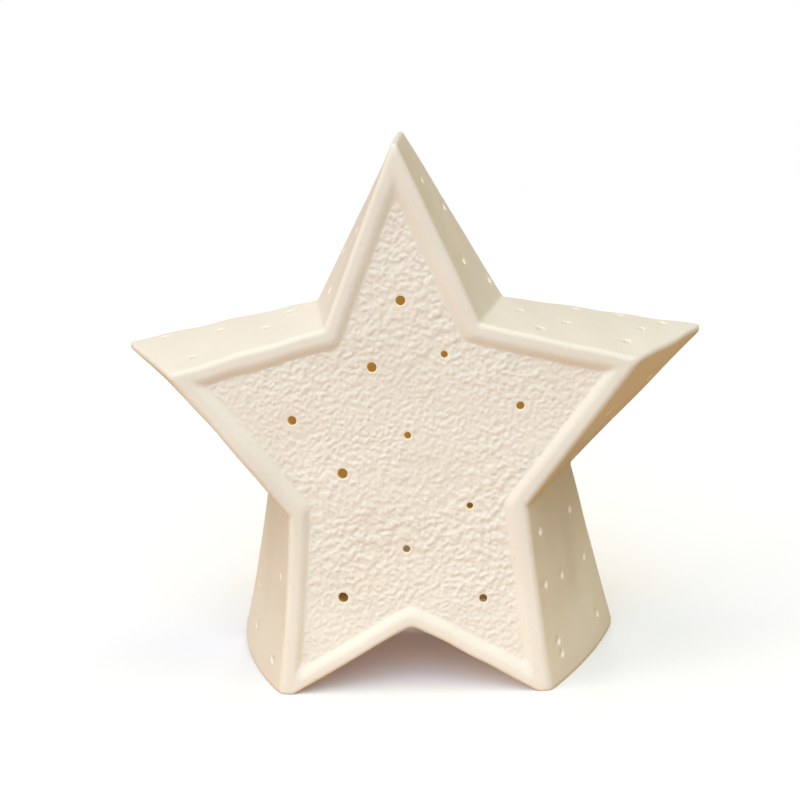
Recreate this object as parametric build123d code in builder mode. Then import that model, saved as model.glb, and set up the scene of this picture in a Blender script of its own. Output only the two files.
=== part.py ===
from build123d import *
import math
import os

# Star-shaped porcelain tealight holder. Millimetres, +Z up, origin on the table under the middle of the star.
# X runs across the star, the front faces -Y, and the doorway for the tealight is at the back, +Y.

# ---------------------------------------------------------------- driving dimensions
FOOT_DEPTH = 60.0  # front to back, on the table
LEAN = 0.10  # front and back lean towards each other, run over rise
FRONT_Y = -FOOT_DEPTH / 2
BACK_Y = FOOT_DEPTH / 2

# Corners of the right half of each star, (x, height). The feet run to a point just under the table,
# and are cut flat there.
FRONT_STAR = {
    "apex": (0.0, 166.8),
    "shoulder": (23.3, 111.5),
    "arm": (70.5, 99.4),
    "waist": (35.8, 56.4),
    "foot": (41.3, -2.7),
    "notch": (0.0, 20.7),
}
BACK_STAR = {
    "apex": (0.0, 169.8),
    "shoulder": (30.3, 115.0),
    "arm": (94.3, 103.3),
    "waist": (50.8, 58.8),
    "foot": (64.5, -2.2),
    "notch": (0.0, 21.5),
}
OUTER_RADII = {"apex": 1.2, "shoulder": 2.0, "arm": 1.2, "waist": 2.0, "foot": 2.0, "notch": 4.0}
INNER_RADII = {"apex": 0.8, "shoulder": 4.0, "arm": 0.8, "waist": 4.0, "foot": 1.2, "notch": 5.0}

WALL = 3.0  # porcelain thickness
EDGE_BEVEL = 1.2  # broken edge round the front and back of the shell
RIM_WIDTH = 4.4  # raised frame round the front panel, at its top
RIM_SLOPE = 2.2  # width of the slope from the frame down to the panel
PANEL_RECESS = 1.4  # panel below the frame

# Pierced light holes in the front panel: (x, height, diameter).
FRONT_HOLES = [
    (0.0, 119.0, 2.9),
    (-9.5, 99.5, 3.0),
    (12.5, 102.5, 2.1),
    (-34.5, 84.0, 2.7),
    (34.5, 86.5, 2.4),
    (0.5, 78.5, 2.1),
    (-19.5, 67.5, 3.1),
    (18.5, 57.0, 2.0),
    (-1.0, 44.0, 2.2),
    (-21.0, 29.5, 3.0),
    (21.5, 28.5, 2.4),
]
# Pierced light holes in the side walls: side of the star, the wall's two corners, and for each hole
# its place from the first corner to the second and from the front to the back, as shares of the wall.
WALL_HOLE_DIAMETER = 2.4
WALL_HOLES = [
    (1, "apex", "shoulder", [(0.26, 0.50), (0.44, 0.80), (0.71, 0.46), (0.88, 0.88)]),
    (-1, "apex", "shoulder", [(0.34, 0.70), (0.52, 0.40), (0.67, 0.80), (0.86, 0.52)]),
    (1, "shoulder", "arm", [(0.14, 0.59), (0.38, 0.88), (0.41, 0.50), (0.33, 0.22), (0.60, 0.90)]),
    (1, "shoulder", "arm", [(0.78, 0.64), (0.80, 0.31), (0.82, 0.88)]),
    (-1, "shoulder", "arm", [(0.31, 0.52), (0.54, 0.74), (0.79, 0.27), (0.81, 0.88), (0.14, 0.80)]),
    (1, "arm", "waist", [(0.30, 0.72), (0.45, 0.35), (0.62, 0.80), (0.80, 0.50)]),
    (-1, "arm", "waist", [(0.28, 0.62), (0.50, 0.82), (0.58, 0.34), (0.82, 0.62)]),
    (1, "waist", "foot", [(0.22, 0.76), (0.17, 0.17), (0.51, 0.82), (0.48, 0.40), (0.44, 0.13)]),
    (1, "waist", "foot", [(0.82, 0.74), (0.75, 0.15), (0.82, 0.16)]),
    (-1, "waist", "foot", [(0.39, 0.21), (0.62, 0.79), (0.79, 0.57), (0.82, 0.14)]),
]

BACK_THICKNESS = 3.0
BACK_INSET = 1.5  # back slab below the shell's back edge
SHELF_TOP = 27.6  # height the tealight stands at
SHELF_BOTTOM = 24.0
SHELF_WIDTH = 56.0
SLOT_WIDTH = 44.0  # foot of the doorway, which the tealight slides through
SLOT_HEIGHT = 14.9  # above the shelf
SLOT_CORNER = 3.0
ARCH_RADIUS = 15.0  # arch over the middle of the slot, for the wick and a thumb

CUP_RADIUS = 19.0  # standard tealight, 38 mm across
CUP_FOOT_RADIUS = 17.8
CUP_WALL_RADIUS = 18.2  # outside of the wall where it meets the lip, which is rolled outwards
CUP_HEIGHT = 14.0
CUP_GAUGE = 0.35
CUP_BEAD = 0.6  # radius of the rolled lip
CUP_Y = 1.0  # tealight's axis
STANDING_GAP = 0.05
CURB_GAP = 0.7  # between the cup and the curb that centres it
CURB_WIDTH = 2.2
CURB_HEIGHT = 2.0
CURB_REACH = 10.0  # straight arms of the curb, behind the tealight's axis

WAX_HEIGHT = 11.4
WAX_GAP = 0.35  # wax to cup wall
WAX_DISH = 0.5  # how far the top sinks towards the wick
WICK_RADIUS = 0.7
WICK_STAND = 8.0  # wick above the wax
TAB_RADIUS = 6.5  # tinned disc that holds the wick upright
TAB_THICKNESS = 0.3
TAB_NECK_RADIUS = 1.3
TAB_NECK_HEIGHT = 4.0

os.makedirs("parts", exist_ok=True)


# ---------------------------------------------------------------- star geometry
def leaning_plane(table_y, lean):
    """Plane through the line y = table_y on the table, leaning back by lean. Its local y runs up it."""
    return Plane(origin=(0, table_y, 0), x_dir=(1, 0, 0), z_dir=(0, -1, lean))


def corner_point(name, table_y, lean):
    """Where the long edge from a corner of the front star to that of the back star meets a leaning plane."""
    front_x, front_z = FRONT_STAR[name]
    back_x, back_z = BACK_STAR[name]
    front_y = FRONT_Y + LEAN * front_z
    back_y = BACK_Y - LEAN * back_z
    gap = table_y + lean * front_z - front_y
    share = gap / ((back_y - front_y) - lean * (back_z - front_z))
    x = front_x + share * (back_x - front_x)
    z = front_z + share * (back_z - front_z)
    return x, z * math.hypot(1, lean)


def outline(table_y, lean):
    """All ten corners of the star cut by a leaning plane, clockwise from the apex, in its coordinates."""
    right = [corner_point(name, table_y, lean) for name in FRONT_STAR]
    left = [(-x, y) for x, y in right[-2:0:-1]]
    return right + left


def moved_inward(corners, distance):
    """The same outline with every side moved inwards by distance, and corners where moved sides cross."""
    moved = []
    for i, corner in enumerate(corners):
        before = Vector(*corners[i - 1])
        here = Vector(*corner)
        after = Vector(*corners[(i + 1) % len(corners)])
        side_in = (here - before).normalized()
        side_out = (after - here).normalized()
        inward_in = Vector(side_in.Y, -side_in.X)
        inward_out = Vector(side_out.Y, -side_out.X)
        share = distance / (1 + inward_in.dot(inward_out))
        crossing = here + (inward_in + inward_out) * share
        moved.append((crossing.X, crossing.Y))
    return moved


def corner_radii(radii):
    """One radius for each of the ten corners, clockwise from the apex."""
    right = [radii[name] for name in FRONT_STAR]
    return right + right[-2:0:-1]


def star_sketch(table_y, lean, inset, radii):
    """A rounded star on a leaning plane, moved inwards from the outside of the shell by inset."""
    corners = moved_inward(outline(table_y, lean), inset)
    with BuildSketch(leaning_plane(table_y, lean)) as star:
        with BuildLine():
            FilletPolyline(*corners, radius=corner_radii(radii), close=True)
        make_face()
    return star.sketch


def wall_plane(side, first, second, along, back):
    """Plane on the outside of a side wall, facing outwards, at shares of the way along it and across it."""

    def at(share_along, share_back):
        ends = []
        for star, table_y, lean in ((FRONT_STAR, FRONT_Y, LEAN), (BACK_STAR, BACK_Y, -LEAN)):
            x = star[first][0] + share_along * (star[second][0] - star[first][0])
            z = star[first][1] + share_along * (star[second][1] - star[first][1])
            ends.append(Vector(side * x, table_y + lean * z, z))
        return ends[0] + (ends[1] - ends[0]) * share_back

    point = at(along, back)
    run_along = at(1, back) - at(0, back)
    run_back = at(along, 1) - at(along, 0)
    outward = run_along.cross(run_back) * -side
    return Plane(origin=point, x_dir=run_back, z_dir=outward)


# ---------------------------------------------------------------- shell and what is luted into it
def solid_star():
    """The star without its hollow: four stars joined by straight-sided lofts, cut flat under the feet."""
    with BuildPart() as solid:
        loft(
            [
                star_sketch(FRONT_Y, LEAN, EDGE_BEVEL, OUTER_RADII),
                star_sketch(FRONT_Y + EDGE_BEVEL, LEAN, 0, OUTER_RADII),
                star_sketch(BACK_Y - EDGE_BEVEL, -LEAN, 0, OUTER_RADII),
                star_sketch(BACK_Y, -LEAN, EDGE_BEVEL, OUTER_RADII),
            ],
            ruled=True,
        )
        split(bisect_by=Plane.XY, keep=Keep.TOP)
    return solid.part


def hollow_star():
    """The space inside the shell, open at the back."""
    with BuildPart() as hollow:
        loft(
            [
                star_sketch(FRONT_Y + PANEL_RECESS + WALL, LEAN, WALL, INNER_RADII),
                star_sketch(BACK_Y + EDGE_BEVEL, -LEAN, WALL, INNER_RADII),
            ],
            ruled=True,
        )
    return hollow.part


def panel_pocket():
    """The recess in the front, with its sloping sides."""
    proud = 0.5
    with BuildPart() as pocket:
        loft(
            [
                star_sketch(FRONT_Y - proud, LEAN, RIM_WIDTH - proud, INNER_RADII),
                star_sketch(FRONT_Y + PANEL_RECESS, LEAN, RIM_WIDTH + RIM_SLOPE, INNER_RADII),
            ],
            ruled=True,
        )
    return pocket.part


def hole_planes():
    """Every pierced hole as (plane, diameter), each plane a little outside its wall."""
    start = 0.5
    panel = leaning_plane(FRONT_Y + PANEL_RECESS, LEAN)
    planes = []
    for x, z, diameter in FRONT_HOLES:
        origin = panel.from_local_coords((x, z * math.hypot(1, LEAN), 0))
        planes.append((Plane(origin=origin, x_dir=panel.x_dir, z_dir=panel.z_dir).offset(start), diameter))
    for side, first, second, places in WALL_HOLES:
        for along, back in places:
            planes.append((wall_plane(side, first, second, along, back).offset(start), WALL_HOLE_DIAMETER))
    return planes


def make_shell(hollow):
    """Front face and side walls, cast in one piece."""
    depth = WALL * 2
    with BuildPart() as star_shell:
        add(solid_star())
        add(hollow, mode=Mode.SUBTRACT)
        add(panel_pocket(), mode=Mode.SUBTRACT)
        for plane, diameter in hole_planes():
            with Locations(plane):
                Hole(radius=diameter / 2, depth=depth)
    star_shell.part.label = "star_shell"
    return star_shell


def doorway():
    """Outline of the doorway: a low slot as wide as the tealight needs, and an arch over its middle."""
    half = SLOT_WIDTH / 2
    corner = half - SLOT_CORNER
    bend = SLOT_CORNER * math.sqrt(0.5)
    side = SLOT_HEIGHT - SLOT_CORNER
    plane = Plane(origin=(0, BACK_Y + EDGE_BEVEL, SHELF_TOP), x_dir=(1, 0, 0), z_dir=(0, -1, 0))
    crown = SLOT_HEIGHT + ARCH_RADIUS
    with BuildSketch(plane) as door:
        with BuildLine():
            Line((-half, 0), (half, 0))
            Line((half, 0), (half, side))
            ThreePointArc((half, side), (corner + bend, side + bend), (corner, SLOT_HEIGHT))
            Line((corner, SLOT_HEIGHT), (ARCH_RADIUS, SLOT_HEIGHT))
            ThreePointArc((ARCH_RADIUS, SLOT_HEIGHT), (0, crown), (-ARCH_RADIUS, SLOT_HEIGHT))
            Line((-ARCH_RADIUS, SLOT_HEIGHT), (-corner, SLOT_HEIGHT))
            ThreePointArc((-corner, SLOT_HEIGHT), (-corner - bend, side + bend), (-half, side))
            Line((-half, side), (-half, 0))
        make_face()
    return door.sketch


def make_back_panel(hollow):
    """Slab that closes the back of the star inside its edge, with the doorway down to the shelf."""
    with BuildPart() as back_panel:
        add(hollow)
        split(bisect_by=leaning_plane(BACK_Y - BACK_INSET, -LEAN), keep=Keep.TOP)
        split(bisect_by=leaning_plane(BACK_Y - BACK_INSET - BACK_THICKNESS, -LEAN), keep=Keep.BOTTOM)
        extrude(doorway(), amount=FOOT_DEPTH / 2, dir=(0, -1, 0), mode=Mode.SUBTRACT)
    back_panel.part.label = "back_panel"
    return back_panel


def make_shelf(hollow):
    """Shelf over the notch between the legs, with a horseshoe curb that is open to the doorway."""
    inner = CUP_RADIUS + CURB_GAP
    outer = inner + CURB_WIDTH
    with BuildPart() as tealight_shelf:
        add(hollow)
        split(bisect_by=leaning_plane(BACK_Y - BACK_INSET - BACK_THICKNESS, -LEAN), keep=Keep.TOP)
        with BuildSketch(Plane.XY.offset(SHELF_BOTTOM)):
            Rectangle(SHELF_WIDTH, FOOT_DEPTH)
        extrude(amount=SHELF_TOP - SHELF_BOTTOM, mode=Mode.INTERSECT)
        with BuildSketch(Plane.XY.offset(SHELF_TOP)):
            with Locations((0, CUP_Y)):
                Circle(outer)
                Rectangle(2 * outer, CURB_REACH, align=(Align.CENTER, Align.MIN))
                Circle(inner, mode=Mode.SUBTRACT)
                Rectangle(2 * inner, 2 * outer, align=(Align.CENTER, Align.MIN), mode=Mode.SUBTRACT)
            with Locations((0, CUP_Y + CURB_REACH)):
                Rectangle(3 * outer, 2 * outer, align=(Align.CENTER, Align.MIN), mode=Mode.SUBTRACT)
        extrude(amount=CURB_HEIGHT)
    tealight_shelf.part.label = "tealight_shelf"
    return tealight_shelf


# ---------------------------------------------------------------- tealight
CUP_BOTTOM = SHELF_TOP + STANDING_GAP
CUP_TOP = CUP_BOTTOM + CUP_HEIGHT
WAX_BOTTOM = CUP_BOTTOM + CUP_GAUGE
WAX_TOP = WAX_BOTTOM + WAX_HEIGHT
# half profiles are drawn on this plane: x outwards, y up
TEALIGHT_AXIS = Plane(origin=(0, CUP_Y, 0), x_dir=(1, 0, 0), z_dir=(0, -1, 0))
TURN_AXIS = Axis((0, CUP_Y, 0), (0, 0, 1))


def cup_inner_radius(height):
    """Inside radius of the drafted cup at a height above the table."""
    share = (height - CUP_BOTTOM) / CUP_HEIGHT
    return CUP_FOOT_RADIUS + share * (CUP_WALL_RADIUS - CUP_FOOT_RADIUS) - CUP_GAUGE


def make_cup():
    """Drawn aluminium cup with a rolled lip."""
    lip_radius = CUP_RADIUS - CUP_BEAD
    with BuildPart() as tealight_cup:
        with BuildSketch(TEALIGHT_AXIS):
            with BuildLine():
                Polyline(
                    (0, CUP_BOTTOM),
                    (CUP_FOOT_RADIUS, CUP_BOTTOM),
                    (CUP_WALL_RADIUS, CUP_TOP - CUP_BEAD),
                    (CUP_WALL_RADIUS - CUP_GAUGE, CUP_TOP - CUP_BEAD),
                    (cup_inner_radius(WAX_BOTTOM), WAX_BOTTOM),
                    (0, WAX_BOTTOM),
                    close=True,
                )
            make_face()
            with Locations((lip_radius, CUP_TOP - CUP_BEAD)):
                Circle(CUP_BEAD)
        revolve(axis=TURN_AXIS)
    tealight_cup.part.label = "tealight_cup"
    return tealight_cup


def make_wax():
    """Cast wax with a slightly dished top, hollow where the wick and its tab stand."""
    with BuildPart() as wax:
        with BuildSketch(TEALIGHT_AXIS):
            with BuildLine():
                Polyline(
                    (TAB_RADIUS, WAX_BOTTOM),
                    (cup_inner_radius(WAX_BOTTOM) - WAX_GAP, WAX_BOTTOM),
                    (cup_inner_radius(WAX_TOP) - WAX_GAP, WAX_TOP),
                    (WICK_RADIUS, WAX_TOP - WAX_DISH),
                    (WICK_RADIUS, WAX_BOTTOM + TAB_NECK_HEIGHT),
                    (TAB_NECK_RADIUS, WAX_BOTTOM + TAB_NECK_HEIGHT),
                    (TAB_NECK_RADIUS, WAX_BOTTOM + TAB_THICKNESS),
                    (TAB_RADIUS, WAX_BOTTOM + TAB_THICKNESS),
                    close=True,
                )
            make_face()
        revolve(axis=TURN_AXIS)
    wax.part.label = "wax"
    return wax


def make_wick_tab():
    """Tinned disc with a crimped neck that grips the wick."""
    with BuildPart() as wick_tab:
        with BuildSketch(TEALIGHT_AXIS):
            with BuildLine():
                Polyline(
                    (WICK_RADIUS, WAX_BOTTOM),
                    (TAB_RADIUS, WAX_BOTTOM),
                    (TAB_RADIUS, WAX_BOTTOM + TAB_THICKNESS),
                    (TAB_NECK_RADIUS, WAX_BOTTOM + TAB_THICKNESS),
                    (TAB_NECK_RADIUS, WAX_BOTTOM + TAB_NECK_HEIGHT),
                    (WICK_RADIUS, WAX_BOTTOM + TAB_NECK_HEIGHT),
                    close=True,
                )
            make_face()
        revolve(axis=TURN_AXIS)
    wick_tab.part.label = "wick_tab"
    return wick_tab


def make_wick():
    """Waxed cotton wick, from the cup's floor to above the wax."""
    with BuildPart() as wick:
        with BuildSketch(Plane.XY.offset(WAX_BOTTOM)):
            with Locations((0, CUP_Y)):
                Circle(WICK_RADIUS)
        extrude(amount=WAX_HEIGHT - WAX_DISH + WICK_STAND)
        fillet(wick.edges().group_by(Axis.Z)[-1], radius=WICK_RADIUS / 2)
    wick.part.label = "wick"
    return wick


# ---------------------------------------------------------------- all pieces
hollow_space = hollow_star()
pieces = [
    make_shell(hollow_space),
    make_back_panel(hollow_space),
    make_shelf(hollow_space),
    make_cup(),
    make_wax(),
    make_wick_tab(),
    make_wick(),
]
for piece in pieces:
    export_step(piece.part, f"parts/{piece.part.label}.step")
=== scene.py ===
import math

import bmesh
import bpy
import numpy as np
from mathutils import Matrix, Vector
from mathutils.geometry import delaunay_2d_cdt


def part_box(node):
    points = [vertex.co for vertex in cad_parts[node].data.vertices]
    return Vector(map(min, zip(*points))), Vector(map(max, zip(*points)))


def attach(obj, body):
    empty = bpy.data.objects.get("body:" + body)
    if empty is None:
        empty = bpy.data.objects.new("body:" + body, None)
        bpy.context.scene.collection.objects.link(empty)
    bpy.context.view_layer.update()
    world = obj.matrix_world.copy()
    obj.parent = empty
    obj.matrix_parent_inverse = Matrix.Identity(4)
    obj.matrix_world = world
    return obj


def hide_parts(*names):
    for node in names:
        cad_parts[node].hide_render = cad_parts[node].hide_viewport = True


# Looks of the star-shaped porcelain tealight holder. Shapes are worked out in millimetres, in the frame of
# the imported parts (+Z up, front faces -Y), and become metres when a mesh is made.

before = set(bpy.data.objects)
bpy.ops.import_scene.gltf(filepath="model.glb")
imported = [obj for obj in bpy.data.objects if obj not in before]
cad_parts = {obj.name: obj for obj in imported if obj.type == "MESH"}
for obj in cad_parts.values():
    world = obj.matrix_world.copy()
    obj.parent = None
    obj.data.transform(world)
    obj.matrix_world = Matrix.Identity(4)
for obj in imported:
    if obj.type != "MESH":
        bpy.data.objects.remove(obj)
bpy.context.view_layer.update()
MM = 0.001

# -------------------- driving dimensions, millimetres
FRONT_Y = -30.0  # front face on the table
BACK_Y = 30.0
LEAN = 0.10  # front and back lean towards each other, run over rise
FRONT_STAR = {
    "apex": (0.0, 166.8),
    "shoulder": (23.3, 111.5),
    "arm": (70.5, 99.4),
    "waist": (35.8, 56.4),
    "foot": (41.3, -2.7),
    "notch": (0.0, 20.7),
}
BACK_STAR = {
    "apex": (0.0, 169.8),
    "shoulder": (30.3, 115.0),
    "arm": (94.3, 103.3),
    "waist": (50.8, 58.8),
    "foot": (64.5, -2.2),
    "notch": (0.0, 21.5),
}
OUTER_RADII = {"apex": 1.2, "shoulder": 2.0, "arm": 1.2, "waist": 2.0, "foot": 2.0, "notch": 4.0}
INNER_RADII = {"apex": 0.8, "shoulder": 4.0, "arm": 0.8, "waist": 4.0, "foot": 1.2, "notch": 5.0}
CORNER_NAMES = list(FRONT_STAR) + list(FRONT_STAR)[-2:0:-1]  # clockwise from the apex, seen from the front

WALL = 3.0  # porcelain thickness
EDGE_ROUND = 1.4  # rounding round the front of the shell
RIM_CROWN = 0.10  # the frame's top is this much higher in its middle
RIM_MIDDLE = 2.2
SLOPE_START = 2.9  # where the frame starts to fall to the panel
SLOPE_END = 6.6
PANEL_RECESS = 1.4
FRAME_WIDTHS = [7.0, 6.8, 6.5, 7.2, 5.8, 5.8, 6.3, 6.2, 6.8, 6.5]  # along each wall, clockwise from the apex
# how far the front and the back edge of each wall sit inside the true star, clockwise from the apex
FRONT_DRIFT = [0, 0, 0, 0, 0, 0, 0, -1.2, 0, 0]
BACK_DRIFT = [0, 0, -0.6, 0, 0, 0, 1.3, 0, -0.8, 0]
RELIEF_HEIGHT = 0.185  # of the pebbled panel, about its mean surface
RELIEF_FADE = 0.7  # width over which the relief rises beside the frame
BACK_ROUND = 1.2
LIP_ROUND = 0.6  # inner edge of the back
INNER_FILLET = 1.5  # inside, between the front and the side walls
SOLE_SOFTNESS = 0.5  # how softly the walls turn into the soles
HAND_WAVER = 0.16  # unevenness of the hand-finished surface
WAVER_RISE = 12.0  # height over which it grows from nothing at the soles
WORN_CORNERS = {-1: 9.0, 1: 4.0}  # rounding of the back corner of the left and of the right foot
SWOLLEN_FEET = {-1: 4.0, 1: 2.8}  # how far the outer wall of the left and of the right foot swells out
SWELL_REACH = 14.0  # from the outer wall inwards
SWELL_HEIGHT = 26.0

# pierced light holes in the front: (x, height, diameter)
FRONT_HOLES = [
    (0.0, 119.0, 2.9),
    (-9.5, 99.5, 3.0),
    (12.5, 102.5, 2.1),
    (-34.5, 84.0, 2.7),
    (34.5, 86.5, 2.4),
    (0.5, 78.5, 2.1),
    (-19.5, 67.5, 3.1),
    (18.5, 57.0, 2.0),
    (-1.0, 44.0, 2.2),
    (-21.0, 29.5, 3.0),
    (21.5, 28.5, 2.4),
]
WALL_HOLE_DIAMETER = 2.4
# side of the star, the wall's two corners, and each hole's place along it and from front to back, as shares
WALL_HOLES = [
    (1, "apex", "shoulder", [(0.26, 0.50), (0.44, 0.80), (0.71, 0.46), (0.88, 0.88)]),
    (-1, "apex", "shoulder", [(0.34, 0.70), (0.52, 0.40), (0.67, 0.80), (0.86, 0.52)]),
    (1, "shoulder", "arm", [(0.14, 0.59), (0.38, 0.88), (0.41, 0.50), (0.33, 0.22), (0.60, 0.90)]),
    (1, "shoulder", "arm", [(0.78, 0.64), (0.80, 0.31), (0.82, 0.88)]),
    (-1, "shoulder", "arm", [(0.31, 0.52), (0.54, 0.74), (0.79, 0.27), (0.81, 0.88), (0.14, 0.80)]),
    (1, "arm", "waist", [(0.30, 0.72), (0.45, 0.35), (0.62, 0.80), (0.80, 0.50)]),
    (-1, "arm", "waist", [(0.28, 0.62), (0.50, 0.82), (0.58, 0.34), (0.82, 0.62)]),
    (1, "waist", "foot", [(0.22, 0.76), (0.17, 0.17), (0.51, 0.82), (0.48, 0.40), (0.44, 0.13)]),
    (1, "waist", "foot", [(0.82, 0.74), (0.75, 0.15), (0.82, 0.16)]),
    (-1, "waist", "foot", [(0.39, 0.21), (0.62, 0.79), (0.79, 0.57), (0.82, 0.14)]),
]

BACK_INSET = 1.5  # back panel below the shell's back edge
BACK_THICKNESS = 3.0
SLIP = 0.8  # fillet of clay slip where the back panel meets the walls
BURIED = 0.15  # how far the slip that joins the slab to the walls runs into them
SHELF_TOP = 27.6
SHELF_BOTTOM = 24.0
SHELF_WIDTH = 56.0
SHELF_ROUND = 0.8
SHELF_INTO_WALL = 1.2
SLOT_WIDTH = 44.0  # foot of the doorway, which the tealight slides through
SLOT_HEIGHT = 14.9
SLOT_CORNER = 3.0
ARCH_RADIUS = 15.0

CUP_RADIUS = 19.0
CUP_FOOT_RADIUS = 17.8
CUP_WALL_RADIUS = 18.2
CUP_HEIGHT = 14.0
CUP_GAUGE = 0.35
CUP_BEAD = 0.6  # radius of the rolled lip
CUP_Y = 1.0
CUP_BOTTOM = SHELF_TOP + 0.05
CURB_WIDTH = 2.2
CURB_HEIGHT = 2.0
CURB_REACH = 10.0
CURB_MIDDLE = CUP_RADIUS + 0.7 + CURB_WIDTH / 2
CURB_END = CUP_Y + CURB_REACH - CURB_WIDTH / 2  # where the round end of each arm has its middle
WAX_BOTTOM = CUP_BOTTOM + CUP_GAUGE
WAX_TOP = WAX_BOTTOM + 11.4
WAX_GAP = 0.35
WAX_DISH = 0.5
WICK_RADIUS = 0.7
WICK_STAND = 8.0
TAB_RADIUS = 6.5
TAB_THICKNESS = 0.3
TAB_NECK_RADIUS = 1.3
TAB_NECK_HEIGHT = 4.0
TAB_GAP = 0.05  # round the tab, inside the wax
TUCKED = 0.02  # hair's breadth that keeps the pieces of the tealight off one another
PAINTED_SHADE_CROOK = (0.053, 0.0, 0.056)  # metres: under the right arm (and mirrored under the left), where painted shade makes the porcelain a little darker
HOLE_MOUTH = [(0.26, 0.0), (0.08, 0.07), (0.0, 0.28)]  # widening of a hole's mouth, and the depth it is at
HOLE_SIDES = 28

# -------------------- camera
LENS = 63.29  # on a sensor 36 mm wide
CAMERA_PLACE = (0.03307, -0.43254, 0.17166)  # metres
CAMERA_TURN = (0.083, -0.196, 0.047)  # pan, tilt and roll in radians

# -------------------- numbers that set how finely things are made
ARC_STEPS = 8
RING_STEP = 1.1
FOOT_STEP = 0.5
WALL_STEP = 2.0
INNER_STEP = 3.5
BACK_STEP = 2.5
PANEL_STEP = 0.4
SHELF_STEP = 1.5
NEAR_FOOT = 7.0  # length along a wall that has the finer step
TINY_SHARE = 1e-4
WELD = 2e-4
BOX_MARGIN = 0.01  # kept from the box of the CAD shell


# -------------------- star geometry
def smooth(x):
    x = np.clip(x, 0, 1)
    return x * x * (3 - 2 * x)


def normalised(vectors):
    return vectors / np.linalg.norm(vectors, axis=-1, keepdims=True)


def quarter_turn(count):
    """Pairs (1 - cosine, 1 - sine) over a quarter turn, for a rounded edge: one grows, the other shrinks."""
    return [(1 - math.cos(a), 1 - math.sin(a)) for a in np.linspace(0, math.pi / 2, count)]


def on_plane(flat, table_y, lean):
    """Points (x, z) placed on the plane y = table_y + lean z."""
    return np.stack([flat[:, 0], table_y + lean * flat[:, 1], flat[:, 1]], axis=1)


def star_corners(table_y, lean):
    """Where the star's ten long edges cross a leaning plane, as (x, z), clockwise from the apex."""
    right = []
    for name in FRONT_STAR:
        front_x, front_z = FRONT_STAR[name]
        back_x, back_z = BACK_STAR[name]
        front_y = FRONT_Y + LEAN * front_z
        back_y = BACK_Y - LEAN * back_z
        share = (table_y + lean * front_z - front_y) / (back_y - front_y - lean * (back_z - front_z))
        right.append((front_x + share * (back_x - front_x), front_z + share * (back_z - front_z)))
    left = [(-x, z) for x, z in right[-2:0:-1]]
    return np.array(right + left)


def moved_inward(corners, distances):
    """Corners of the star when each wall is moved inwards. distances is one number, or one for each wall."""
    distance = np.broadcast_to(distances, len(corners))[:, None]
    side = normalised(np.roll(corners, -1, axis=0) - corners)
    inward = np.stack([side[:, 1], -side[:, 0]], axis=1)
    before = np.roll(inward, 1, axis=0)
    distance_before = np.roll(distance, 1, axis=0)
    cosine = (inward * before).sum(axis=1)[:, None]
    own = (distance - cosine * distance_before) / (1 - cosine**2)
    other = (distance_before - cosine * distance) / (1 - cosine**2)
    return corners + inward * own + before * other


def wall_shares():
    """For each wall, the shares of its length where every ring has a point. They are closer near the feet."""
    corners = star_corners(FRONT_Y, LEAN)
    shares = []
    for i, corner in enumerate(corners):
        length = np.linalg.norm(corners[(i + 1) % 10] - corner)
        step = RING_STEP / length
        fine = FOOT_STEP / length
        reach = NEAR_FOOT / length
        values = np.linspace(0, 1, int(round(1 / step)) + 1)[1:-1]
        near_foot = np.arange(fine, reach, fine)
        if CORNER_NAMES[(i + 1) % 10] == "foot":
            values = np.concatenate([values[values < 1 - reach], 1 - near_foot[::-1]])
        if CORNER_NAMES[i] == "foot":
            values = np.concatenate([near_foot, values[values > reach]])
        shares.append(values)
    return shares


SHARES = wall_shares()


class Ring:
    """A rounded star on a leaning plane. All rings have the same number of points at each corner and wall."""

    def __init__(self, table_y, lean, inset, radii):
        corners = moved_inward(star_corners(table_y, lean), inset)
        unit = normalised(np.roll(corners, -1, axis=0) - corners)
        incoming = np.roll(unit, 1, axis=0)
        radius = np.array([radii[name] for name in CORNER_NAMES])
        half = np.arccos(np.clip((unit * incoming).sum(axis=1), -1, 1)) / 2
        towards = normalised(unit - incoming)
        along = normalised(unit + incoming)
        centre = corners + towards * (radius / np.cos(half))[:, None]
        self.arcs = []
        for i in range(10):
            angle = np.linspace(-half[i], half[i], ARC_STEPS)[:, None]
            flat = centre[i] + radius[i] * (along[i] * np.sin(angle) - towards[i] * np.cos(angle))
            self.arcs.append(on_plane(flat, table_y, lean))
        self.walls = []
        for i in range(10):
            start = self.arcs[i][-1]
            end = self.arcs[(i + 1) % 10][0]
            self.walls.append(start + (end - start) * SHARES[i][:, None])

    def points(self):
        return np.concatenate([part for pair in zip(self.arcs, self.walls) for part in pair])


def mixed_radii(share):
    return {name: OUTER_RADII[name] + share * (INNER_RADII[name] - OUTER_RADII[name]) for name in OUTER_RADII}


# -------------------- meshes
OUTER, INNER, LIP = 0, 1, 2  # material slots of a porcelain piece: plain, the inside with its painted shade and painted glow, and the hole lips with their painted highlight


def placed(name, data):
    """A new object in the scene, at the origin."""
    obj = bpy.data.objects.new(name, data)
    bpy.context.scene.collection.objects.link(obj)
    return obj


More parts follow.
